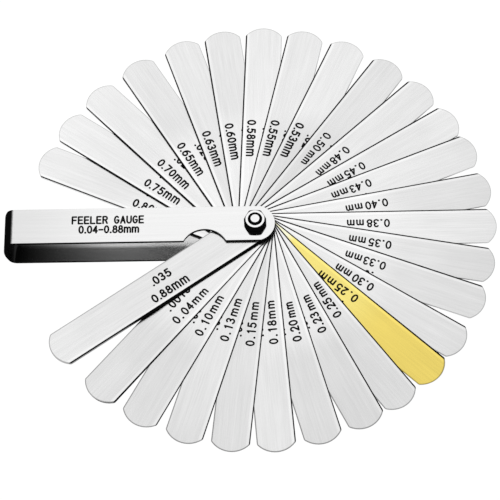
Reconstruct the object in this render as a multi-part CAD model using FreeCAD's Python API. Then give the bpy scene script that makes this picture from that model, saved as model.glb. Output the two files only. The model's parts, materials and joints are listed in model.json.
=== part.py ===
"""Feeler gauge: 32 thin leaves of graded thickness that turn on one pivot screw in a bent-strip holder.

Units are millimetres. The leaves lie flat, parallel to the XY plane, stacked along +Z.
Origin: on the pivot axis, in the plane of the screw head's outer face. The holder runs along -X.
Each piece is written to parts/NODE.step.
"""
import FreeCAD, Part
import math
import os

# Leaves, from the top of the stack (beside the nut) to the bottom (beside the screw head).
# Name, thickness, and swing: degrees turned out of the holder, counter-clockwise seen from above.
# Each leaf is named by its thickness in hundredths of a millimetre.
LEAVES = [
    ("leaf_088", 0.88, 34.7),
    ("leaf_004", 0.04, 49.0),
    ("leaf_005", 0.05, 49.1),
    ("leaf_006", 0.06, 49.2),
    ("leaf_008", 0.08, 49.3),
    ("leaf_010", 0.10, 60.9),
    ("leaf_013", 0.13, 72.5),
    ("leaf_015", 0.15, 83.7),
    ("leaf_018", 0.18, 94.6),
    ("leaf_020", 0.20, 105.8),
    ("leaf_023", 0.23, 116.9),
    ("leaf_025", 0.25, 126.8),
    ("leaf_025_brass", 0.25, 137.1),
    ("leaf_028", 0.28, 137.3),
    ("leaf_030", 0.30, 147.1),
    ("leaf_033", 0.33, 158.9),
    ("leaf_035", 0.35, 169.4),
    ("leaf_038", 0.38, 180.2),
    ("leaf_040", 0.40, 190.5),
    ("leaf_043", 0.43, 201.9),
    ("leaf_045", 0.45, 211.7),
    ("leaf_048", 0.48, 222.5),
    ("leaf_050", 0.50, 233.5),
    ("leaf_053", 0.53, 245.4),
    ("leaf_055", 0.55, 256.8),
    ("leaf_058", 0.58, 267.5),
    ("leaf_060", 0.60, 278.3),
    ("leaf_063", 0.63, 289.1),
    ("leaf_065", 0.65, 301.7),
    ("leaf_070", 0.70, 314.1),
    ("leaf_075", 0.75, 325.4),
    ("leaf_080", 0.80, 336.3),
]
LEAF_WIDTH = 13.0
LEAF_REACH = 83.3  # from the pivot axis to the tip
TIP_RADIUS = 8.2
TIP_CORNER_RADIUS = 1.2
LEAF_HOLE_RADIUS = 2.08
LEAF_GAP = 0.04  # running gap between neighbours in the stack

# Holder: one strip bent into a U round its far end, open along both long sides.
SHEET = 1.2
HOLDER_WIDTH = 13.0
HOLDER_END_X = -87.2  # outermost point of the bend
BEND_BULGE = 4.0  # how far the bend runs past the flats of the two cheeks
BEND_CORNER_RADIUS = 3.0  # outer radius where a cheek turns into the end wall
CHEEK_END_RADIUS = 6.8
CHEEK_HOLE_RADIUS = 2.15
NOTCH_RADIUS = 8.3
NOTCH_CENTRE_X = -17.4
NOTCH_DEPTH = 4.4
EDGE_BREAK = 0.15  # deburred outer edge of the strip

# Pivot: M4 pan-head slotted screw and hexagon nut.
SHANK_RADIUS = 2.0
HEAD_RADIUS = 4.0
HEAD_HEIGHT = 2.4
HEAD_CROWN_RADIUS = 1.3
SLOT_WIDTH = 1.2
SLOT_DEPTH = 1.1
END_PROUD = 0.4  # screw end above the nut
END_CHAMFER = 0.5
NUT_FLATS = 6.8
NUT_CORNERS = 7.66  # across the rounded corners
NUT_HEIGHT = 3.1
NUT_FACE_RADIUS = 3.25
NUT_CHAMFER_ANGLE = 30.0
NUT_BORE_RADIUS = 2.02
NUT_COUNTERSINK_RADIUS = 2.5

# Levels along the pivot axis.
LEAF_STACK = sum(thickness for _, thickness, _ in LEAVES)
OPENING = LEAF_STACK + (len(LEAVES) + 1) * LEAF_GAP
LOW_CHEEK_Z = HEAD_HEIGHT
LOW_INNER_Z = LOW_CHEEK_Z + SHEET
HIGH_INNER_Z = LOW_INNER_Z + OPENING
HIGH_CHEEK_Z = HIGH_INNER_Z + SHEET
NUT_TOP_Z = HIGH_CHEEK_Z + NUT_HEIGHT
MIDDLE_Z = (LOW_CHEEK_Z + HIGH_CHEEK_Z) / 2
OVERRUN = 5.0  # extra length of a cutting solid past the face it cuts

Z_AXIS = FreeCAD.Vector(0, 0, 1)


def cylinder(radius, x, y, low, high):
    """Upright cylinder between two levels."""
    return Part.makeCylinder(radius, high - low, FreeCAD.Vector(x, y, low), Z_AXIS)


def block(x_range, y_range, z_range):
    """Box between two x, two y and two z values."""
    corner = FreeCAD.Vector(x_range[0], y_range[0], z_range[0])
    sizes = [high - low for low, high in (x_range, y_range, z_range)]
    return Part.makeBox(*sizes, corner)


def revolved(points):
    """Solid of revolution about the pivot axis, from (radius, height) points."""
    corners = [FreeCAD.Vector(radius, 0, height) for radius, height in points]
    wire = Part.makePolygon(corners + corners[:1])
    return Part.Face(wire).revolve(FreeCAD.Vector(0, 0, 0), Z_AXIS, 360)


def leaf_outline():
    """Closed outline of a leaf along +X: half-round hub end, parallel sides, shallow round tip."""
    half = LEAF_WIDTH / 2
    tip_centre = LEAF_REACH - TIP_RADIUS
    rise = half - TIP_CORNER_RADIUS
    run = math.sqrt((TIP_RADIUS - TIP_CORNER_RADIUS) ** 2 - rise**2)
    corner_x = tip_centre + run
    turn = math.atan2(rise, run)
    blend = FreeCAD.Vector(
        tip_centre + TIP_RADIUS * math.cos(turn), TIP_RADIUS * math.sin(turn), 0
    )
    middle = (turn + math.pi / 2) / 2
    corner_mid = FreeCAD.Vector(
        corner_x + TIP_CORNER_RADIUS * math.cos(middle),
        rise + TIP_CORNER_RADIUS * math.sin(middle),
        0,
    )
    side_end = FreeCAD.Vector(corner_x, half, 0)
    side_start = FreeCAD.Vector(0, half, 0)
    hub = FreeCAD.Vector(-half, 0, 0)
    tip = FreeCAD.Vector(LEAF_REACH, 0, 0)

    def mirrored(point):
        return FreeCAD.Vector(point.x, -point.y, 0)

    return Part.Wire([
        Part.LineSegment(side_start, side_end).toShape(),
        Part.Arc(side_end, corner_mid, blend).toShape(),
        Part.Arc(blend, tip, mirrored(blend)).toShape(),
        Part.Arc(mirrored(blend), mirrored(corner_mid), mirrored(side_end)).toShape(),
        Part.LineSegment(mirrored(side_end), mirrored(side_start)).toShape(),
        Part.Arc(mirrored(side_start), hub, side_start).toShape(),
    ])


def make_leaf(thickness, low, swing):
    """Flat leaf with its lower face at level low, swung out of the holder, which points along -X."""
    body = Part.Face(leaf_outline()).extrude(FreeCAD.Vector(0, 0, thickness))
    hole = cylinder(LEAF_HOLE_RADIUS, 0, 0, -OVERRUN, thickness + OVERRUN)
    leaf = body.cut(hole)
    leaf.rotate(FreeCAD.Vector(0, 0, 0), Z_AXIS, 180 + swing)
    leaf.translate(FreeCAD.Vector(0, 0, low))
    return leaf


def bend_wire(inset, start_x):
    """Edges of the U, seen along Y, moved in from the strip's outer face by inset.

    Two cheek lines, two corner arcs and one wide arc that bulges past the cheek flats.
    """
    half_height = (HIGH_CHEEK_Z - LOW_CHEEK_Z) / 2
    corner = BEND_CORNER_RADIUS
    corner_rise = half_height - corner
    corner_x = HOLDER_END_X + BEND_BULGE
    # Radius of the wide arc that is tangent to both corner arcs and reaches HOLDER_END_X.
    wide = (BEND_BULGE**2 - corner**2 + corner_rise**2) / (2 * (BEND_BULGE - corner))
    wide_x = HOLDER_END_X + wide
    turn = math.atan2(corner_rise, wide_x - corner_x)

    def at(centre_x, centre_z, radius, angle, side):
        x = centre_x - (radius - inset) * math.cos(angle)
        z = centre_z + (radius - inset) * math.sin(angle)
        return FreeCAD.Vector(x, 0, MIDDLE_Z + side * z)

    edges = []
    for side in (1, -1):
        flat_end = at(corner_x, corner_rise, corner, math.pi / 2, side)
        bend_end = at(corner_x, corner_rise, corner, turn, side)
        bend_mid = at(corner_x, corner_rise, corner, (turn + math.pi / 2) / 2, side)
        pivot_end = FreeCAD.Vector(start_x, 0, flat_end.z)
        edges.append(Part.LineSegment(pivot_end, flat_end).toShape())
        edges.append(Part.Arc(flat_end, bend_mid, bend_end).toShape())
    wide_low = at(wide_x, 0, wide, turn, -1)
    wide_high = at(wide_x, 0, wide, turn, 1)
    wide_mid = at(wide_x, 0, wide, 0, 1)
    edges.append(Part.Arc(wide_low, wide_mid, wide_high).toShape())
    return edges


def bent_strip():
    """The U of strip before its pivot ends are rounded: cheeks, corners and end wall."""
    half_width = HOLDER_WIDTH / 2
    outer = bend_wire(0, CHEEK_END_RADIUS)
    inner = bend_wire(SHEET, CHEEK_END_RADIUS)
    high_end = Part.LineSegment(
        FreeCAD.Vector(CHEEK_END_RADIUS, 0, HIGH_CHEEK_Z),
        FreeCAD.Vector(CHEEK_END_RADIUS, 0, HIGH_INNER_Z),
    ).toShape()
    low_end = Part.LineSegment(
        FreeCAD.Vector(CHEEK_END_RADIUS, 0, LOW_CHEEK_Z),
        FreeCAD.Vector(CHEEK_END_RADIUS, 0, LOW_INNER_Z),
    ).toShape()
    section = Part.Wire(Part.__sortEdges__(outer + inner + [high_end, low_end]))
    strip = Part.Face(section).extrude(FreeCAD.Vector(0, HOLDER_WIDTH, 0))
    strip.translate(FreeCAD.Vector(0, -half_width, 0))
    return strip


def pivot_end_shape():
    """Plan outline of the cheeks as a tall solid: straight sides and a rounded pivot end."""
    half_width = HOLDER_WIDTH / 2
    shoulder_x = math.sqrt(CHEEK_END_RADIUS**2 - half_width**2)
    low = LOW_CHEEK_Z - OVERRUN
    high = HIGH_CHEEK_Z + OVERRUN
    sides = block((HOLDER_END_X - OVERRUN, shoulder_x), (-half_width, half_width), (low, high))
    end = cylinder(CHEEK_END_RADIUS, 0, 0, low, high)
    belt = block((0, CHEEK_END_RADIUS), (-half_width, half_width), (low, high))
    return sides.fuse(end.common(belt))


def rounded_edges(holder):
    """Breaks the outer edges of the strip, along the cheeks, the notches and the bend."""
    half_width = HOLDER_WIDTH / 2
    picked = []
    for edge in holder.Edges:
        box = edge.BoundBox
        on_outer_face = box.ZMin > HIGH_CHEEK_Z - 1e-4 or box.ZMax < LOW_CHEEK_Z + 1e-4
        on_bend = box.XMax < HOLDER_END_X + BEND_BULGE + 1e-4 and box.YLength < 1e-4
        outermost = box.XMin < HOLDER_END_X + SHEET / 2
        is_hole = box.DiagonalLength < 4 * CHEEK_HOLE_RADIUS and abs(box.Center.x) < 1e-4
        across = box.YLength > HOLDER_WIDTH - 1e-4 and box.XLength < 1e-4
        if is_hole or across:
            continue
        if on_outer_face or (on_bend and outermost and abs(box.YMin) > half_width - 1e-4):
            picked.append(edge)
    return holder.makeFillet(EDGE_BREAK, picked)


def make_holder():
    """Bent strip with a pivot hole through both cheeks and a thumb notch in the -Y edge of each."""
    holder = bent_strip().common(pivot_end_shape())
    low = LOW_CHEEK_Z - OVERRUN
    high = HIGH_CHEEK_Z + OVERRUN
    notch_y = -HOLDER_WIDTH / 2 + NOTCH_DEPTH - NOTCH_RADIUS
    holder = holder.cut(cylinder(CHEEK_HOLE_RADIUS, 0, 0, low, high))
    holder = holder.cut(cylinder(NOTCH_RADIUS, NOTCH_CENTRE_X, notch_y, low, high))
    return holder


def make_screw():
    """Slotted pan-head screw, head down, its end just above the nut."""
    crown = HEAD_CROWN_RADIUS
    end_z = NUT_TOP_Z + END_PROUD
    head = cylinder(HEAD_RADIUS, 0, 0, 0, HEAD_HEIGHT)
    rim = [edge for edge in head.Edges if edge.BoundBox.ZMax < HEAD_HEIGHT / 2]
    head = head.makeFillet(crown, [edge for edge in rim if edge.Closed])
    slot = block(
        (-HEAD_RADIUS - OVERRUN, HEAD_RADIUS + OVERRUN),
        (-SLOT_WIDTH / 2, SLOT_WIDTH / 2),
        (-OVERRUN, SLOT_DEPTH),
    )
    shank = revolved([
        (0, SLOT_DEPTH),
        (0, end_z),
        (SHANK_RADIUS - END_CHAMFER, end_z),
        (SHANK_RADIUS, end_z - END_CHAMFER),
        (SHANK_RADIUS, SLOT_DEPTH),
    ])
    return head.cut(slot).fuse(shank).removeSplitter()


def make_nut():
    """Hexagon nut with its corners on the X axis, both ends chamfered and countersunk."""
    sharp_radius = NUT_FLATS / math.sqrt(3)
    corner_radius = NUT_CORNERS / 2
    corners = []
    for step in range(7):
        angle = math.radians(60 * step)
        point = FreeCAD.Vector(math.cos(angle), math.sin(angle), 0) * sharp_radius
        corners.append(point + Z_AXIS * HIGH_CHEEK_Z)
    prism = Part.Face(Part.makePolygon(corners)).extrude(Z_AXIS * NUT_HEIGHT)
    drop = (corner_radius - NUT_FACE_RADIUS) * math.tan(math.radians(NUT_CHAMFER_ANGLE))
    turned = revolved([
        (0, HIGH_CHEEK_Z),
        (NUT_FACE_RADIUS, HIGH_CHEEK_Z),
        (corner_radius, HIGH_CHEEK_Z + drop),
        (corner_radius, NUT_TOP_Z - drop),
        (NUT_FACE_RADIUS, NUT_TOP_Z),
        (0, NUT_TOP_Z),
    ])
    sink = NUT_COUNTERSINK_RADIUS - NUT_BORE_RADIUS
    bore = revolved([
        (0, HIGH_CHEEK_Z),
        (NUT_COUNTERSINK_RADIUS, HIGH_CHEEK_Z),
        (NUT_BORE_RADIUS, HIGH_CHEEK_Z + sink),
        (NUT_BORE_RADIUS, NUT_TOP_Z - sink),
        (NUT_COUNTERSINK_RADIUS, NUT_TOP_Z),
        (0, NUT_TOP_Z),
    ])
    return prism.common(turned).cut(bore)


def make_leaves():
    """Every leaf by name, laid down from the top of the stack."""
    leaves = {}
    top = HIGH_INNER_Z - LEAF_GAP
    for name, thickness, swing in LEAVES:
        leaves[name] = make_leaf(thickness, top - thickness, swing)
        top -= thickness + LEAF_GAP
    return leaves


def main():
    pieces = {
        "holder": rounded_edges(make_holder()),
        "pivot_screw": make_screw(),
        "pivot_nut": make_nut(),
    }
    pieces.update(make_leaves())
    os.makedirs("parts", exist_ok=True)
    for name, shape in pieces.items():
        solid = shape.Solids[0]
        if len(shape.Solids) != 1 or not solid.isValid():
            raise ValueError(name + " is not one valid solid")
        solid.exportStep("parts/" + name + ".step")


main()
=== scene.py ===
"""Looks of the feeler gauge: metal finishes, etched lettering, studio and camera."""

import json
import math

import bpy
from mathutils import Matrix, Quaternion, Vector


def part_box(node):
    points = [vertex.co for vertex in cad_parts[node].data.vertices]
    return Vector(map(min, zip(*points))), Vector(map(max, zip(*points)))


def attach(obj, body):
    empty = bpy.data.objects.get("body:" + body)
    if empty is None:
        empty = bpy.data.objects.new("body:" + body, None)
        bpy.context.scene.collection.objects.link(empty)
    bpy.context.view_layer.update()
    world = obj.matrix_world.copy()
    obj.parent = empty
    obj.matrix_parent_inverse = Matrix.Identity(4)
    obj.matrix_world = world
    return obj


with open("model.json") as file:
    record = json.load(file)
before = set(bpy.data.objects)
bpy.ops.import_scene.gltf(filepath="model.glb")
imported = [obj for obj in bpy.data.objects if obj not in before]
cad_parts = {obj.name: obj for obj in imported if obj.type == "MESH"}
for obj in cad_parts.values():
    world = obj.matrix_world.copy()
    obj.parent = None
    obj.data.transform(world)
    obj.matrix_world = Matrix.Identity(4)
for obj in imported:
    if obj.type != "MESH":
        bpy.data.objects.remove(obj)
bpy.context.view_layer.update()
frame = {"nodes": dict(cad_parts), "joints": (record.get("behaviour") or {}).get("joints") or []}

MM = 0.001

# The sizes of the leaves and the holder that the finishes follow, in millimetres.
LEAF_HALF_WIDTH = 6.5
LEAF_REACH = 83.3
TIP_RADIUS = 8.2
INNER_LEVELS = (3.6, 17.21)  # the faces of the two cheeks that look at each other
# The black gap on the thinnest leaf is painted shadow.
THINNEST = "leaf_004"  # in the photo it seems to hang, and leaves a black gap above it
# Brightness of the outer end of the leaves whose two ends differ most.
OUTER_TONES = {"leaf_013": 0.91, "leaf_015": 0.96, "leaf_025": 1.04, "leaf_035": 0.95,
               "leaf_045": 1.14, "leaf_050": 1.05, "leaf_058": 0.97}
CORNER_REACH = 0.004  # metres: how far round a point its corners are looked for, for the painted shade
SIDE_TONES = (0.34, 0.62, 0.42, 0.75)  # the sheared sides of neighbouring leaves differ
THREAD_FROM = 18.5  # above this level the steep faces of the screw are painted black, a painted dark reflection

# How far each leaf is swung out of the holder, anticlockwise seen from above, in degrees.
SWING = {joint["child"]: -joint["range_deg"][0] for joint in frame["joints"]}

# Each leaf's etched marks and steel: inch size, first digit's distance from the pivot and its
# offset towards the anticlockwise edge (mm), lettering style, brightness of the steel (0 to 1),
# how much brighter its inner half is painted (a painted highlight), and the width of its black
# edge line, which is painted shade (mm).
MARKS = {
    "leaf_088": (".035", 43.80, 3.05, "close", 0.780, 0.03, 0.58),
    "leaf_004": (".0015", 44.20, 2.70, "wide", 0.735, 0.15, 0.15),
    "leaf_005": (".002", 44.20, 2.80, "wide", 0.735, 0.15, 0.20),
    "leaf_006": (".0025", 44.20, 2.80, "wide", 0.735, 0.15, 0.20),
    "leaf_008": (".003", 44.20, 2.80, "wide", 0.735, 0.15, 0.20),
    "leaf_010": (".004", 44.10, 2.55, "wide", 0.716, 0.17, 0.40),
    "leaf_013": (".005", 43.20, 2.45, "wide", 0.788, 0.02, 0.40),
    "leaf_015": (".006", 43.80, 2.73, "wide", 0.760, 0.00, 0.40),
    "leaf_018": (".007", 43.50, 2.40, "wide", 0.795, 0.05, 0.44),
    "leaf_020": (".008", 44.40, 1.80, "firm", 0.730, 0.15, 0.40),
    "leaf_023": (".009", 44.80, 2.15, "firm", 0.716, 0.18, 0.46),
    "leaf_025": (".010", 43.10, 2.05, "firm", 0.716, 0.12, 0.46),
    "leaf_025_brass": (".010", 43.10, 2.90, "wide", 0.0, 0.10, 0.42),
    "leaf_028": (".011", 43.80, 2.40, "firm", 0.760, 0.10, 0.30),
    "leaf_030": (".012", 45.15, 2.10, "firm", 0.774, 0.09, 0.46),
    "leaf_033": (".013", 45.90, 1.95, "even", 0.775, 0.11, 0.50),
    "leaf_035": (".014", 46.20, 1.90, "even", 0.785, 0.09, 0.46),
    "leaf_038": (".015", 45.50, 1.80, "even", 0.850, 0.05, 0.42),
    "leaf_040": (".016", 46.20, 1.75, "even", 0.785, 0.11, 0.42),
    "leaf_043": (".017", 43.40, 2.00, "even", 0.825, 0.01, 0.47),
    "leaf_045": (".018", 45.05, 1.65, "even", 0.788, 0.08, 0.50),
    "leaf_048": (".019", 45.00, 1.75, "even", 0.830, 0.01, 0.50),
    "leaf_050": (".020", 45.50, 2.05, "even", 0.774, -0.03, 0.50),
    "leaf_053": (".021", 45.10, 3.20, "close", 0.850, -0.11, 0.48),
    "leaf_055": (".022", 44.40, 3.02, "close", 0.838, -0.04, 0.45),
    "leaf_058": (".023", 44.50, 3.08, "close", 0.862, 0.05, 0.50),
    "leaf_060": (".024", 44.50, 2.78, "close", 0.795, 0.10, 0.48),
    "leaf_063": (".025", 44.40, 2.88, "close", 0.810, 0.00, 0.42),
    "leaf_065": (".026", 45.00, 3.00, "close", 0.788, 0.13, 0.40),
    "leaf_070": (".028", 45.00, 2.75, "close", 0.830, 0.05, 0.35),
    "leaf_075": (".030", 44.30, 2.75, "close", 0.838, 0.05, 0.27),
    "leaf_080": (".032", 44.80, 2.85, "close", 0.815, 0.09, 0.47),
}


# ---------------------------------------------------------------- lettering

# Sizes in millimetres.
DOT = 0.74  # height of a decimal point
DOT_SPREAD = 0.1  # how much longer than high it is
DOT_INSET = 0.02
DIGIT_WIDTH = 1.50
DIGIT_HEIGHT = 2.62
INK_ABOVE = 0.008
INK_BELOW = 0.004
STROKE_STEP = 0.001  # each further stroke of a glyph lies this much higher, so none coincide
CAP_POINTS = 6
INCH_SHIFT = 2.5  # the inch size of three digits begins this far along from the metric one
INCH_SHIFT_BACK = 1.2  # each further digit takes it back by this much

# Distances between the centres of neighbouring characters, the size of the m, the distance
# between the two lines of figures and the width of a stroke, in millimetres.
STYLES = {
    "wide": {
        "digit to point": 2.15, "point to digit": 2.20, "digit to digit": 2.40,
        "digit to m": 3.40, "m to m": 3.70, "m": (2.40, 1.75), "lines": 4.65, "stroke": 0.62,
    },
    "even": {
        "digit to point": 1.90, "point to digit": 1.85, "digit to digit": 2.25,
        "digit to m": 3.30, "m to m": 3.20, "m": (2.10, 1.78), "lines": 4.80, "stroke": 0.59,
    },
    "close": {
        "digit to point": 1.72, "point to digit": 1.65, "digit to digit": 2.42,
        "digit to m": 2.88, "m to m": 3.40, "m": (2.36, 2.20), "lines": 5.50, "stroke": 0.66,
    },
}
STYLES["firm"] = dict(STYLES["even"], stroke=0.63)

# Some of the marks are stamped a little askew, in degrees.
ASKEW = {
    "leaf_010": 1.3, "leaf_020": -3.3, "leaf_023": -3.1, "leaf_025": -4.6, "leaf_025_brass": 4.5,
    "leaf_030": -1.2, "leaf_033": 1.2, "leaf_048": 1.2, "leaf_060": 1.2,
}

# On one leaf the two lines of figures stand this much wider apart, in millimetres.
LINES_WIDER = {"leaf_004": 0.35}

# On some leaves the "mm" stands this much closer to the figures, or further off, in millimetres.
UNIT_CLOSER = {
    "leaf_004": 0.25, "leaf_010": 0.1, "leaf_018": 0.3, "leaf_030": -0.2, "leaf_033": 0.3,
    "leaf_043": 0.2, "leaf_045": 0.1, "leaf_048": 0.1,
}

# The two generic lines on the holder, in millimetres: where each begins, the height of its base
# line, the width and height of its characters and the distances between them.
HOLDER_STROKE = 0.63
TITLE = "FEELER GAUGE"
TITLE_START, TITLE_BASE = -62.3, 0.73
TITLE_LETTER = (1.38, 2.55)
TITLE_PITCH, TITLE_SPACE = 2.12, 1.9
COVERS = "0.04-0.88mm"
COVERS_START, COVERS_BASE = -59.9, -2.85
COVERS_FIGURE, COVERS_M = (1.3, 2.5), (2.0, 1.9)
COVERS_PITCH, COVERS_POINT_PITCH, COVERS_M_WIDER = 1.95, 1.45, 0.4


def arc(cx, cy, rx, ry, start, end, steps=14):
    """Points of an ellipse arc from start to end degrees."""
    points = []
    for i in range(steps + 1):
        a = math.radians(start + (end - start) * i / steps)
        points.append((cx + rx * math.cos(a), cy + ry * math.sin(a)))
    return points


def ring(cx, cy, rx, ry, steps=26):
    """Points of a whole ellipse; the last repeats the first."""
    return arc(cx, cy, rx, ry, 90, 450, steps)


# Each glyph's strokes on a cell one wide and one high, with (0, 0) at its lower left.
GLYPHS = {
    "0": [ring(0.5, 0.5, 0.5, 0.5)],
    "1": [[(0.22, 0.84), (0.56, 1.0)], [(0.56, 1.0), (0.56, 0.0)]],
    "2": [arc(0.48, 0.70, 0.44, 0.30, 165, -32) + [(0.04, 0.0)], [(0.04, 0.0), (0.98, 0.0)]],
    "3": [arc(0.45, 0.76, 0.42, 0.24, 150, -90), arc(0.45, 0.26, 0.50, 0.26, 90, -150)],
    "4": [[(0.74, 0.0), (0.74, 1.0)], [(0.74, 1.0), (0.0, 0.28)], [(0.0, 0.28), (1.0, 0.28)]],
    "5": [
        [(0.90, 1.0), (0.18, 1.0)],
        [(0.18, 1.0), (0.10, 0.55)],
        arc(0.43, 0.32, 0.53, 0.32, 133, -148),
    ],
    "6": [ring(0.5, 0.31, 0.5, 0.31), arc(0.95, 0.31, 0.95, 0.69, 97, 180)],
    "7": [[(0.0, 1.0), (0.98, 1.0)], [(0.98, 1.0), (0.36, 0.0)]],
    "8": [ring(0.5, 0.76, 0.38, 0.24), ring(0.5, 0.26, 0.5, 0.26)],
    "9": [ring(0.5, 0.69, 0.5, 0.31), arc(0.05, 0.69, 0.95, 0.69, -83, 0)],
    "m": [
        [(0.0, 0.0), (0.0, 1.0)],
        arc(0.25, 0.66, 0.25, 0.34, 180, 0, 8) + [(0.5, 0.0)],
        arc(0.75, 0.66, 0.25, 0.34, 180, 0, 8) + [(1.0, 0.0)],
    ],
    "-": [[(0.05, 0.45), (0.95, 0.45)]],
    "A": [[(0.0, 0.0), (0.5, 1.0)], [(0.5, 1.0), (1.0, 0.0)], [(0.17, 0.34), (0.83, 0.34)]],
    "E": [
        [(0.95, 1.0), (0.0, 1.0)],
        [(0.0, 1.0), (0.0, 0.0)],
        [(0.0, 0.0), (0.98, 0.0)],
        [(0.0, 0.52), (0.85, 0.52)],
    ],
    "F": [[(0.98, 1.0), (0.0, 1.0)], [(0.0, 1.0), (0.0, 0.0)], [(0.0, 0.5), (0.85, 0.5)]],
    "G": [arc(0.5, 0.5, 0.5, 0.5, 48, 338, 22), [(0.97, 0.32), (0.97, 0.46)],
          [(0.97, 0.46), (0.58, 0.46)]],
    "L": [[(0.0, 1.0), (0.0, 0.0)], [(0.0, 0.0), (0.95, 0.0)]],
    "R": [
        [(0.0, 0.0), (0.0, 1.0)],
        [(0.0, 1.0)] + arc(0.62, 0.76, 0.36, 0.24, 90, -90, 10) + [(0.0, 0.52)],
        [(0.55, 0.52), (1.0, 0.0)],
    ],
    "U": [[(0.0, 1.0)] + arc(0.5, 0.36, 0.5, 0.36, 180, 360, 12) + [(1.0, 1.0)]],
}


def side_offsets(points, half, closed):
    """The points half a stroke to the left and to the right of a line."""
    left, right = [], []
    count = len(points)
    for i, (x, y) in enumerate(points):
        if closed:
            before, after = points[i - 1], points[(i + 1) % count]
        else:
            before, after = points[max(i - 1, 0)], points[min(i + 1, count - 1)]
        dx, dy = after[0] - before[0], after[1] - before[1]
        length = math.hypot(dx, dy)
        nx, ny = -dy / length * half, dx / length * half
        left.append((x + nx, y + ny))
        right.append((x - nx, y - ny))
    return left, right


def end_cap(centre, towards, half):
    """A half circle round a stroke's end, which points in the direction towards."""
    base = math.atan2(towards[1], towards[0])
    points = []
    for i in range(1, CAP_POINTS):
        a = base + math.pi / 2 - math.pi * i / CAP_POINTS
        points.append((centre[0] + half * math.cos(a), centre[1] + half * math.sin(a)))
    return points


class Ink:
    """Collects strokes as closed slabs, laid on a plane in the row frame."""

    def __init__(self, origin, along, up, top):
        self.origin, self.along, self.up = origin, along, up
        self.low, self.high = top - INK_BELOW, top + INK_ABOVE
        self.vertices, self.faces = [], []
        self.lift = 0.0

    def place(self, points, z):
        """Adds vertices at a level and returns the number of the first."""
        first = len(self.vertices)
        for x, y in points:
            px = self.origin[0] + self.along[0] * x + self.up[0] * y
            py = self.origin[1] + self.along[1] * x + self.up[1] * y
            self.vertices.append((px * MM, py * MM, (z + self.lift) * MM))
        return first

    def ring_slab(self, points, half):
        """A stroke that closes on itself, as wide as twice half."""
        left, right = side_offsets(points, half, True)
        n = len(points)
        start = [self.place(p, z) for p, z in (
            (left, self.high), (right, self.high), (left, self.low), (right, self.low))]
        lt, rt, lb, rb = start
        for i in range(n):
            j = (i + 1) % n
            self.faces.append((lt + i, rt + i, rt + j, lt + j))
            self.faces.append((lb + j, rb + j, rb + i, lb + i))
            self.faces.append((lt + j, lb + j, lb + i, lt + i))
            self.faces.append((rt + i, rb + i, rb + j, rt + j))

    def line_slab(self, points, half):
        """A stroke with two round ends, as wide as twice half."""
        left, right = side_offsets(points, half, False)
        (ax, ay), (bx, by) = points[-2:]
        finish = end_cap(points[-1], (bx - ax, by - ay), half)
        (ax, ay), (bx, by) = points[:2]
        begin = end_cap(points[0], (ax - bx, ay - by), half)
        n, caps = len(points), len(finish)
        outline = right + finish[::-1] + left[::-1] + begin[::-1]
        total = len(outline)
        t = self.place(outline, self.high)
        b = self.place(outline, self.low)
        mirror = [2 * n + caps - 1 - i for i in range(n)]
        for i in range(n - 1):
            quad = (i, i + 1, mirror[i + 1], mirror[i])
            self.faces.append(tuple(t + q for q in quad))
            self.faces.append(tuple(b + q for q in reversed(quad)))
        for cap in (
            [n - 1 + i for i in range(caps + 2)],
            [2 * n + caps - 1 + i for i in range(caps + 1)] + [0],
        ):
            self.faces.append(tuple(t + q for q in cap))
            self.faces.append(tuple(b + q for q in reversed(cap)))
        for i in range(total):
            j = (i + 1) % total
            self.faces.append((t + i, b + i, b + j, t + j))

    def glyph(self, letter, centre, base, width, height, stroke):
        """Draws one glyph with its centre at a distance along the line."""
        if letter == ".":
            half = DOT_SPREAD / 2
            y = base + DOT / 2 - stroke / 2
            self.line_slab([(centre - half, y), (centre + half, y)], DOT / 2 - DOT_INSET)
            return
        for number, path in enumerate(GLYPHS[letter]):
            self.lift = number * STROKE_STEP
            line = [(centre + (x - 0.5) * width, base + y * height) for x, y in path]
            if len(line) > 3 and math.dist(line[0], line[-1]) < 1e-6:
                self.ring_slab(line[:-1], stroke / 2)
            else:
                self.line_slab(line, stroke / 2)
        self.lift = 0.0

    def finish(self, name, material, body):
        """Makes the strokes one piece that rides on a body."""
        mesh = bpy.data.meshes.new(name)
        mesh.from_pydata(self.vertices, [], self.faces)
        mesh.validate()
        mesh.materials.append(material)
        obj = bpy.data.objects.new(name, mesh)
        bpy.context.scene.collection.objects.link(obj)
        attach(obj, body)


def line_places(text, style):
    """Each character of a line and the place of its centre, measured from the first one's."""
    spaces = STYLES[style]
    x, places, before = 0.0, [], None
    for letter in text:
        kind = {"m": "m", ".": "point"}.get(letter, "digit")
        if before:
            x += spaces[before + " to " + kind]
        places.append((letter, x))
        before = kind
    return places


def etch_leaf(node, material):
    """The two lines of figures on one leaf. They read from the tip towards the pivot."""
    inch, start, offset, style = MARKS[node][:4]
    spaces = STYLES[style]
    size = node.split("_")[1]
    metric = size[0] + "." + size[1:] + "mm"
    swing = math.radians(180 + SWING[node])
    reading = swing + math.pi + math.radians(ASKEW.get(node, 0.0))
    origin = (
        start * math.cos(swing) - offset * math.sin(swing),
        start * math.sin(swing) + offset * math.cos(swing),
    )
    along = (math.cos(reading), math.sin(reading))
    up = (-math.sin(reading), math.cos(reading))
    ink = Ink(origin, along, up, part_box(node)[1].z / MM)
    base = -DIGIT_HEIGHT / 2
    for letter, x in line_places(metric, style):
        width, height = spaces["m"] if letter == "m" else (DIGIT_WIDTH, DIGIT_HEIGHT)
        back = UNIT_CLOSER.get(node, 0.0) if letter == "m" else 0.0
        ink.glyph(letter, x - back, base, width, height, spaces["stroke"])
    shift = INCH_SHIFT - INCH_SHIFT_BACK * (len(inch) - 4)
    apart = spaces["lines"] + LINES_WIDER.get(node, 0.0)
    for letter, x in line_places(inch, style):
        ink.glyph(letter, x + shift, base + apart, DIGIT_WIDTH, DIGIT_HEIGHT,
                  spaces["stroke"])
    ink.finish("marks_" + node, material, node)


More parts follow.
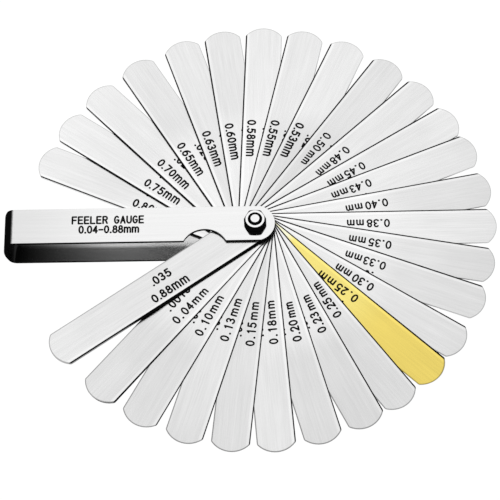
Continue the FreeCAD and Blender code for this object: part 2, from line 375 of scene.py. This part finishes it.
def etch_holder(material):
    """The generic wording on the holder: what the tool is, and the sizes it covers."""
    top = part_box("holder")[1].z / MM
    ink = Ink((0.0, 0.0), (1.0, 0.0), (0.0, 1.0), top)
    x = TITLE_START
    for letter in TITLE:
        if letter != " ":
            ink.glyph(letter, x, TITLE_BASE, *TITLE_LETTER, HOLDER_STROKE)
        x += TITLE_PITCH if letter != " " else TITLE_SPACE
    x = COVERS_START
    before = ""
    for letter in COVERS:
        width, height = COVERS_M if letter == "m" else COVERS_FIGURE
        if before:
            wide = (before == "m") + (letter == "m")
            beside_point = "." in (before, letter)
            x += COVERS_POINT_PITCH if beside_point else COVERS_PITCH + COVERS_M_WIDER * wide
        ink.glyph(letter, x, COVERS_BASE, width, height, HOLDER_STROKE)
        before = letter
    ink.finish("marks_holder", material, "holder")


# ---------------------------------------------------------------- materials

WHITE = (1.0, 1.0, 1.0)
# Near-black used for painted shade and painted dark reflection: leaf edge lines, the screw's
# thread end.
PAINTED_DARK_LEVEL = 0.003
PAINTED_DARK_RANGE = (0.001, 0.006)  # the darkest and the palest of a face painted black as a painted dark reflection
INK_TONES = (0.002, 0.010)


class Graph:
    """A short way to write a material's node tree."""

    def __init__(self, name):
        self.material = bpy.data.materials.new(name)
        self.material.use_nodes = True
        self.tree = self.material.node_tree
        self.shader = self.tree.nodes["Principled BSDF"]

    def node(self, kind, values=None, **settings):
        made = self.tree.nodes.new(kind)
        for key, value in settings.items():
            setattr(made, key, value)
        for key, value in (values or {}).items():
            socket = made.inputs[key]
            if isinstance(value, bpy.types.NodeSocket):
                self.tree.links.new(value, socket)
            else:
                socket.default_value = value
        return made

    def link(self, value, socket):
        """Drives a socket of the shader."""
        self.tree.links.new(value, self.shader.inputs[socket])

    def fix(self, socket, value):
        """Sets a socket of the shader to one value all over."""
        self.shader.inputs[socket].default_value = value

    def math(self, operation, *values):
        inputs = dict(enumerate(values))
        return self.node("ShaderNodeMath", inputs, operation=operation).outputs[0]

    def times(self, a, b):
        return self.math("MULTIPLY", a, b)

    def linear(self, value, slope, offset):
        return self.math("MULTIPLY_ADD", value, slope, offset)

    def larger(self, a, b):
        return self.math("MAXIMUM", a, b)

    def vary(self, noise, depth):
        """A factor that goes depth / 2 above and below 1."""
        return self.linear(noise, depth, 1.0 - depth / 2)

    def length(self, a, b):
        """The length of a vector with these two parts."""
        return self.math("POWER", self.linear(a, a, self.times(b, b)), 0.5)

    def scaled(self, colour, by):
        made = self.node("ShaderNodeVectorMath", {0: colour, "Scale": by}, operation="SCALE")
        return made.outputs[0]

    def between(self, value, low, high, to_low=0.0, to_high=1.0):
        """A smooth step: value from low to high becomes to_low to to_high."""
        step = self.node(
            "ShaderNodeMapRange",
            {"Value": value, "From Min": low, "From Max": high, "To Min": to_low,
             "To Max": to_high},
            interpolation_type="SMOOTHSTEP",
        )
        return step.outputs[0]

    def noise(self, vector, scale=1.0, detail=3.0, rough=0.55):
        made = self.node(
            "ShaderNodeTexNoise",
            {"Vector": vector, "Scale": scale, "Detail": detail, "Roughness": rough},
        )
        return made.outputs[0]

    def place(self):
        """Coordinates that turn with the piece, equal at rest to those of the frame, in metres."""
        return self.node("ShaderNodeTexCoord").outputs["Object"]

    def parts(self, vector):
        return self.node("ShaderNodeSeparateXYZ", {0: vector}).outputs

    def normal(self):
        """The three parts of the true normal."""
        return self.parts(self.node("ShaderNodeNewGeometry").outputs["True Normal"])

    def stretched(self, vector, turn, lengths):
        """Coordinates turned about Z and divided by a length along each axis, in millimetres."""
        made = self.node(
            "ShaderNodeMapping",
            {"Vector": vector, "Rotation": (0.0, 0.0, turn),
             "Scale": [x * MM for x in lengths]},
            vector_type="TEXTURE",
        )
        return made.outputs[0]

    def mix(self, factor, a, b):
        made = self.node("ShaderNodeMix", data_type="RGBA")
        for socket, value in ((0, factor), (6, a), (7, b)):
            if isinstance(value, bpy.types.NodeSocket):
                self.tree.links.new(value, made.inputs[socket])
            else:
                made.inputs[socket].default_value = value
        return made.outputs[2]

    def bump(self, height, distance_mm, strength=1.0, below=None):
        values = {"Height": height, "Distance": distance_mm * MM, "Strength": strength}
        if below is not None:
            values["Normal"] = below
        return self.node("ShaderNodeBump", values).outputs[0]


def grey(value):
    return (value, value, value, 1.0)


def shade(colour, by=1.0):
    """A colour for a node's socket, made darker or brighter."""
    return (colour[0] * by, colour[1] * by, colour[2] * by, 1.0)


def facing_up(graph):
    """1 on faces that look straight up or down, 0 on the edges round them."""
    return graph.between(graph.math("ABSOLUTE", graph.normal()[2]), 0.90, 0.97)


# Distances from the pivot axis, in millimetres, over which one colour of a leaf passes into the
# next; several of them carry painted highlights and painted shade.
ROUND_PIVOT = (9.5, 13.5)
SHADED_PIVOT = (6.0, 16.0)
OUTER_HALF = (40.0, 58.0)
HUB_HIGHLIGHT_FADES = (40.0, 54.0)
OUTER_TONE = (48.0, LEAF_REACH + 5.0)
NEAR_TIP = (LEAF_REACH - 6.0, LEAF_REACH - 4.0)
GAP_OPENS = (20.0, 54.0)

OUTER_FALL = 0.07  # how much darker the outer end is on a leaf along +X, and brighter along -X: painted shade and light
MARGIN_INSIDE = (1.2, 0.6)  # mm inside the black line, where the painted highlight along the margin sets in
MARGIN_HIGHLIGHT = 0.12
LINE_BLUR = 0.04  # mm, half the width of the soft border of the black line of painted shade
GAP_OPENNESS = (0.60, 0.86)  # the thinnest leaf is painted black below this, as painted shadow, from inner to outer end
GAP_BLUR = 0.02
# The dark rim along a leaf's clockwise edge and round its tip is painted shade. It is wider (mm)
# and darker on a leaf that points to -Y.
RIM_WIDTH, RIM_WIDER, RIM_BLUR = 0.30, 0.19, 0.22
RIM_DEPTH, RIM_DEEPER = 0.60, 0.35
RIM_SHADE = 0.30
BLACK_CORNER = (0.72, 0.92)  # openness of the leaf sides, from black corner of painted shade to bare steel
GRAIN_SHIFT = 0.037  # metres by which the grains of neighbouring leaves are displaced


def leaf_tone(g, node, along, turn, grain):
    """Brightness of a leaf's face: its grain, a painted highlight on its inner half, and painted
    shade and light on its outer end.
    """
    fine, broad, cloud = grain
    streaks = g.times(g.vary(fine, 0.20), g.vary(broad, 0.14))
    clouds = g.times(streaks, g.vary(cloud, 0.10))
    hub_highlight = MARKS[node][5]
    with_hub_highlight = g.times(clouds, g.between(along, *HUB_HIGHLIGHT_FADES, 1.0 + hub_highlight, 1.0))
    fall = OUTER_TONES.get(node, 1.0) * (1.0 - OUTER_FALL * math.cos(turn))
    return g.times(with_hub_highlight, g.between(along, *OUTER_TONE, 1.0, fall))


def leaf_rim(g, along, across, ragged, width):
    """1 on the clockwise edge of a leaf and round its tip, in a rim of this width."""
    edge = width - LEAF_HALF_WIDTH
    side = g.between(ragged, edge - RIM_BLUR, edge, 1.0, 0.0)
    ahead = g.larger(g.math("SUBTRACT", along, LEAF_REACH - TIP_RADIUS), 0.0)
    from_centre = g.length(ahead, across)
    inner = TIP_RADIUS - width
    tip = g.between(g.times(from_centre, g.between(along, *NEAR_TIP)), inner, inner + RIM_BLUR)
    return g.larger(side, tip)


def leaf_metal(name, node, colours, seed):
    """Ground strip, finished along its own length.

    It has a lengthwise grain, a painted highlight along its anticlockwise margin and a black line
    of painted shade along that edge, a dark rim of painted shade along the other edge and round
    the tip, and sides painted black in corners as painted shade. The colours are those round the
    pivot, of the inner half and of the outer half.
    """
    g = Graph(name)
    turn = math.radians(180 + SWING[node])
    where = g.place()
    along, across = g.parts(g.stretched(where, turn, (1.0, 1.0, 1.0)))[:2]
    moved = g.node("ShaderNodeVectorMath", {0: where, 1: (0.0, 0.0, GRAIN_SHIFT * seed)})
    shifted = moved.outputs[0]
    fine = g.noise(g.stretched(shifted, turn, (11.0, 0.26, 1.0)), detail=2.0)
    broad = g.noise(g.stretched(shifted, turn, (40.0, 1.1, 1.0)), detail=3.0)
    cloud = g.noise(g.stretched(shifted, turn, (16.0, 7.0, 1.0)), detail=2.0)
    nick = g.noise(g.stretched(shifted, turn, (1.1, 0.9, 1.0)), detail=4.0, rough=0.7)
    ragged = g.math("ADD", across, g.linear(nick, 0.10, -0.05))

    line_from = LEAF_HALF_WIDTH - MARKS[node][6]
    round_pivot, inner, outer = (shade(colour) for colour in colours)
    halves = g.mix(g.between(along, *OUTER_HALF), inner, outer)
    metal = g.mix(g.between(along, *ROUND_PIVOT), round_pivot, halves)
    tone = leaf_tone(g, node, along, turn, (fine, broad, cloud))
    # A painted highlight along the margin inside the black line.
    margin_highlight = g.between(ragged, *(line_from - inside for inside in MARGIN_INSIDE))
    face = g.scaled(metal, g.times(tone, g.linear(margin_highlight, MARGIN_HIGHLIGHT, 1.0)))

    near_side = max(0.0, -math.sin(turn))
    rim = leaf_rim(g, along, across, ragged, RIM_WIDTH + RIM_WIDER * near_side)
    rim_depth = RIM_DEPTH + RIM_DEEPER * near_side ** 2
    # Painted shade along the clockwise edge and round the tip.
    rim_shaded = g.mix(g.times(rim, rim_depth), face, shade(colours[2], RIM_SHADE))

    # The black line along the anticlockwise edge is painted shade, standing for the step down onto
    # the next leaf.
    shade_line = g.between(ragged, line_from - LINE_BLUR, line_from + LINE_BLUR)
    openness = g.node("ShaderNodeAmbientOcclusion", {1: CORNER_REACH}).outputs["AO"]
    # A painted shadow on the thinnest leaf beside the edge of the leaf above it.
    if node == THINNEST:
        gap = g.math("SUBTRACT", g.between(along, *GAP_OPENS, *GAP_OPENNESS), openness)
        shade_line = g.larger(shade_line, g.between(gap, -GAP_BLUR, GAP_BLUR))
    lined = g.mix(shade_line, rim_shaded, grey(PAINTED_DARK_LEVEL))

    # The sheared sides are painted black, as painted shade, where they stand in the corner on the
    # next leaf and near the pivot.
    flat = facing_up(g)
    sheared = g.linear(nick, 0.20, SIDE_TONES[seed % len(SIDE_TONES)] - 0.10)
    side_unshaded = g.times(g.between(openness, *BLACK_CORNER, 0.02, 1.0),
                    g.between(along, *SHADED_PIVOT, 0.10, 1.0))
    side = g.scaled(WHITE, g.times(sheared, side_unshaded))
    g.link(g.mix(flat, side, lined), "Base Color")
    g.link(g.larger(flat, side_unshaded), "Metallic")
    g.fix("Specular IOR Level", 0.0)
    rough = g.linear(fine, 0.10, g.linear(nick, 0.04, 0.13))
    g.link(g.linear(shade_line, 0.3, rough), "Roughness")
    g.link(g.bump(nick, 0.0008, 0.5, g.bump(fine, 0.0008)), "Normal")
    return g.material


# Stretches of the holder along X, in millimetres, over which its colour changes; most carry
# painted shade inside and a painted dark reflection on the bend and pivot end.
BRIGHTENS = (-84.0, -45.0)
INSIDE_SHADE_FADES = (-86.0, -42.0)
BEND = (-84.3, -83.2)
PIVOT_HALF = (-30.0, -29.0)
BEND_BLACK_FROM = (6.0, 11.0)  # level over which the bend is painted black, a painted dark reflection
FAR_STRIP = (4.9, 5.9)  # across, where the strip under the upper cheek begins, which carries a painted reflection


def holder_inside(g, inside_shade, y, nz):
    """The steel between the cheeks, painted dark as painted shade, palest towards the pivot end.

    The lower cheek is painted bright as painted light, and so is a strip under the far edge of the
    upper one, as a painted reflection.
    """
    # Painted light on the lower cheek and a painted reflection on the strip under the far edge.
    looks_up = g.between(nz, 0.0, 0.5, 0.0, 0.68)
    far_strip = g.times(g.between(y, *FAR_STRIP), g.between(nz, -0.5, 0.0, 1.0, 0.0))
    bright = g.larger(looks_up, g.times(far_strip, 1.45))
    return g.scaled(WHITE, g.times(inside_shade, g.linear(bright, 0.9, 0.1))), far_strip


def holder_metal():
    """Polished, lengthwise brushed strip steel, satin between the cheeks and painted dark there as
    painted shade.

    Its cut edges towards -Y, the edge round the pivot end and the upper part of the bend are
    painted black as a painted dark reflection.
    """
    g = Graph("polished_strip_steel")
    where = g.place()
    x, y, z = g.parts(g.stretched(where, 0.0, (1.0, 1.0, 1.0)))
    nx, ny, nz = g.normal()
    fine = g.noise(g.stretched(where, 0.0, (22.0, 0.22, 0.22)), detail=2.0)
    broad = g.noise(g.stretched(where, 0.0, (60.0, 1.4, 1.4)), detail=3.0)
    smear = g.noise(g.stretched(where, 0.0, (9.0, 5.0, 5.0)), detail=4.0)
    nick = g.noise(g.stretched(where, 0.0, (0.8, 0.8, 0.8)), detail=4.0, rough=0.7)

    base = g.between(x, *BRIGHTENS, 0.77, 0.90)
    streaks = g.times(g.vary(fine, 0.09), g.vary(broad, 0.09))
    outside = g.scaled(WHITE, g.times(base, streaks))
    low, high = INNER_LEVELS
    level = g.times(g.between(z, low - 0.1, low - 0.05),
                    g.between(z, high + 0.05, high + 0.1, 1.0, 0.0))
    depth = g.times(level, g.between(nx, -0.2, -0.1))
    inside_shade = g.times(g.between(x, *INSIDE_SHADE_FADES, 0.02, 1.0), g.vary(broad, 0.7))
    inside, far_strip = holder_inside(g, inside_shade, y, nz)
    face = g.mix(depth, outside, inside)

    # The upper part of the bend is painted black, a painted dark reflection.
    bent = g.times(g.between(g.linear(nick, 0.3, x), *BEND, 1.0, 0.0),
                   g.between(z, *BEND_BLACK_FROM))
    with_dark_bend = g.mix(bent, face, grey(PAINTED_DARK_RANGE[1]))
    # The cut edges facing -Y and the pivot end edge are painted black, a painted dark reflection.
    steep = g.between(g.math("ABSOLUTE", nz), 0.3, 0.8, 1.0, 0.0)
    end_face = g.times(steep, g.times(g.between(x, *PIVOT_HALF), g.between(y, 3.5, 5.5, 1.0, 0.0)))
    side_face = g.between(ny, -0.75, -0.35, 1.0, 0.0)
    cut = g.larger(g.larger(side_face, end_face), bent)
    painted_dark = g.mix(nick, *(grey(tone) for tone in PAINTED_DARK_RANGE))
    g.link(g.mix(cut, with_dark_bend, painted_dark), "Base Color")
    satin = g.times(depth, g.math("SUBTRACT", 1.0, cut))
    diffuse_inside = g.times(satin, g.linear(far_strip, 0.75, 0.15))
    g.link(g.math("SUBTRACT", g.math("SUBTRACT", 1.0, cut), diffuse_inside), "Metallic")
    g.fix("Specular IOR Level", 0.0)
    rough = g.linear(smear, 0.05, g.linear(satin, 0.04, 0.04))
    sheared = g.larger(cut, g.between(ny, 0.35, 0.75))
    g.link(g.linear(sheared, 0.3, rough), "Roughness")
    g.link(g.bump(fine, 0.0006), "Normal")
    return g.material


def screw_metal():
    """Bright plating with light turning marks; the chamfer and thread end are painted black, a
    painted dark reflection.
    """
    g = Graph("bright_plated_screw")
    where = g.place()
    x, y, z = g.parts(g.stretched(where, 0.0, (1.0, 1.0, 1.0)))
    turned = g.node("ShaderNodeCombineXYZ", {0: g.times(g.length(x, y), 9.0)}).outputs[0]
    rings = g.noise(turned, detail=2.0)
    nick = g.noise(g.stretched(where, 0.0, (0.7, 0.7, 0.7)), detail=4.0)
    steep = g.between(g.math("ABSOLUTE", g.normal()[2]), 0.8, 0.95, 1.0, 0.0)
    painted_black = g.times(steep, g.between(z, THREAD_FROM, THREAD_FROM + 0.1))
    plated = g.mix(g.times(nick, 0.35), grey(0.95), (0.78, 0.78, 0.80, 1.0))
    g.link(g.mix(painted_black, plated, grey(PAINTED_DARK_LEVEL)), "Base Color")
    g.link(g.math("SUBTRACT", 1.0, painted_black), "Metallic")
    g.fix("Specular IOR Level", 0.0)
    g.link(g.linear(rings, 0.18, 0.12), "Roughness")
    g.link(g.bump(rings, 0.003), "Normal")
    return g.material


def nut_metal():
    """Flanks and chamfers painted black as a painted dark reflection, with the top and bottom
    faces machined bright.
    """
    g = Graph("nut_with_painted_dark_flanks")
    where = g.place()
    bright = g.between(g.math("ABSOLUTE", g.normal()[2]), 0.96, 0.99)
    nick = g.noise(g.stretched(where, 0.0, (0.6, 0.6, 0.6)), detail=4.0)
    grain = g.noise(g.stretched(where, 0.0, (2.0, 2.0, 0.2)), detail=3.0)
    painted_black = g.mix(nick, *(grey(tone) for tone in PAINTED_DARK_RANGE))
    g.link(g.mix(bright, painted_black, grey(0.95)), "Base Color")
    g.link(bright, "Metallic")
    g.fix("Specular IOR Level", 0.0)
    g.link(g.linear(grain, 0.2, 0.16), "Roughness")
    g.link(g.bump(grain, 0.003), "Normal")
    return g.material


def ink_material():
    """Black etched and filled marks, slightly uneven."""
    g = Graph("etched_black")
    uneven = g.noise(g.stretched(g.place(), 0.0, (0.25, 0.25, 0.25)), detail=3.0)
    g.link(g.mix(uneven, *(grey(tone) for tone in INK_TONES)), "Base Color")
    g.link(g.linear(uneven, 0.2, 0.5), "Roughness")
    g.fix("Specular IOR Level", 0.02)
    g.link(g.bump(uneven, 0.004), "Normal")
    return g.material


def dress(node, material):
    """Puts one material in every slot of a CAD node."""
    mesh = frame["nodes"][node].data
    if not mesh.materials:
        mesh.materials.append(material)
    for i in range(len(mesh.materials)):
        mesh.materials[i] = material


dress("holder", holder_metal())
dress("pivot_screw", screw_metal())
dress("pivot_nut", nut_metal())

# The pale brass round the pivot is a painted highlight.
BRASS = ((0.80, 0.79, 0.58), (0.84, 0.71, 0.21), (0.86, 0.68, 0.16))
for number, node in enumerate(SWING):
    brightness = MARKS[node][4]
    if node.endswith("brass"):
        metal = leaf_metal("brass_leaf", node, BRASS, number)
    else:
        steel = (brightness, brightness, brightness)
        metal = leaf_metal("steel_" + node, node, (steel, steel, steel), number)
    dress(node, metal)

ink = ink_material()
for node in SWING:
    etch_leaf(node, ink)
etch_holder(ink)


# ---------------------------------------------------------------- studio

FLOOR_GLOW = 0.96
# Brightness of the dome from straight down (0) to straight up (1).
DOME = ((0.0, 0.0), (0.24, 0.06), (0.40, 0.42), (0.52, 0.66), (0.68, 0.88), (0.88, 1.0))
CAMERA_TURN = (2.4926, 64.383, -3.147)  # azimuth, elevation and roll, in degrees
CAMERA_DISTANCE = 0.841547  # metres from its target
CAMERA_TARGET = (-0.002007, -0.006515, 0.010405)
CAMERA_LENS = 175.28  # focal length on a sensor 36 mm wide, in millimetres


def studio_floor():
    """A wide floor that glows an even white and takes almost no shadow."""
    mesh = bpy.data.meshes.new("floor")
    far = 6.0
    corners = [(-far, -far, 0), (far, -far, 0), (far, far, 0), (-far, far, 0)]
    mesh.from_pydata(corners, [], [(0, 1, 2, 3)])
    floor = bpy.data.objects.new("floor", mesh)
    bpy.context.scene.collection.objects.link(floor)
    g = Graph("pale_floor")
    g.fix("Base Color", grey(0.08))
    g.fix("Roughness", 0.9)
    g.fix("Specular IOR Level", 0.0)
    g.fix("Emission Color", grey(1.0))
    g.fix("Emission Strength", FLOOR_GLOW)
    g.material.cycles.emission_sampling = "NONE"
    mesh.materials.append(g.material)


def studio_world():
    """A pale dome, brightest overhead and dark well below the horizon; the camera sees white."""
    world = bpy.data.worlds.new("studio")
    world.use_nodes = True
    bpy.context.scene.world = world
    tree = world.node_tree
    nodes, links = tree.nodes, tree.links
    background = nodes["Background"]
    where = nodes.new("ShaderNodeTexCoord").outputs["Generated"]
    apart = nodes.new("ShaderNodeSeparateXYZ")
    links.new(where, apart.inputs[0])
    ramp = nodes.new("ShaderNodeValToRGB")
    halved = nodes.new("ShaderNodeMapRange")
    halved.inputs["From Min"].default_value = -1.0
    links.new(apart.outputs[2], halved.inputs["Value"])
    links.new(halved.outputs[0], ramp.inputs[0])
    ramp.color_ramp.interpolation = "EASE"
    elements = ramp.color_ramp.elements
    for element, (position, value) in zip(elements, (DOME[0], DOME[-1])):
        element.position, element.color = position, grey(value)
    for position, value in DOME[1:-1]:
        elements.new(position).color = grey(value)
    seen = nodes.new("ShaderNodeLightPath").outputs["Is Camera Ray"]
    choose = nodes.new("ShaderNodeMix")
    choose.data_type = "RGBA"
    links.new(seen, choose.inputs[0])
    links.new(ramp.outputs[0], choose.inputs[6])
    choose.inputs[7].default_value = grey(1.0)
    links.new(choose.outputs[2], background.inputs["Color"])


def studio_camera():
    """The camera stands in front and well above, turned a little about its own axis."""
    azimuth, elevation, roll = (math.radians(x) for x in CAMERA_TURN)
    back = Vector((
        math.sin(azimuth) * math.cos(elevation),
        -math.cos(azimuth) * math.cos(elevation),
        math.sin(elevation),
    ))
    data = bpy.data.cameras.new("camera")
    data.sensor_width = 36.0
    data.lens = CAMERA_LENS
    data.clip_start = 0.01
    camera = bpy.data.objects.new("camera", data)
    bpy.context.scene.collection.objects.link(camera)
    camera.location = Vector(CAMERA_TARGET) + back * CAMERA_DISTANCE
    camera.rotation_mode = "QUATERNION"
    camera.rotation_quaternion = (-back).to_track_quat("-Z", "Y") @ Quaternion((0, 0, 1), roll)
    bpy.context.scene.camera = camera


studio_floor()
studio_world()
studio_camera()
bpy.context.scene.view_settings.view_transform = "Standard"
bpy.context.scene.view_settings.look = "None"
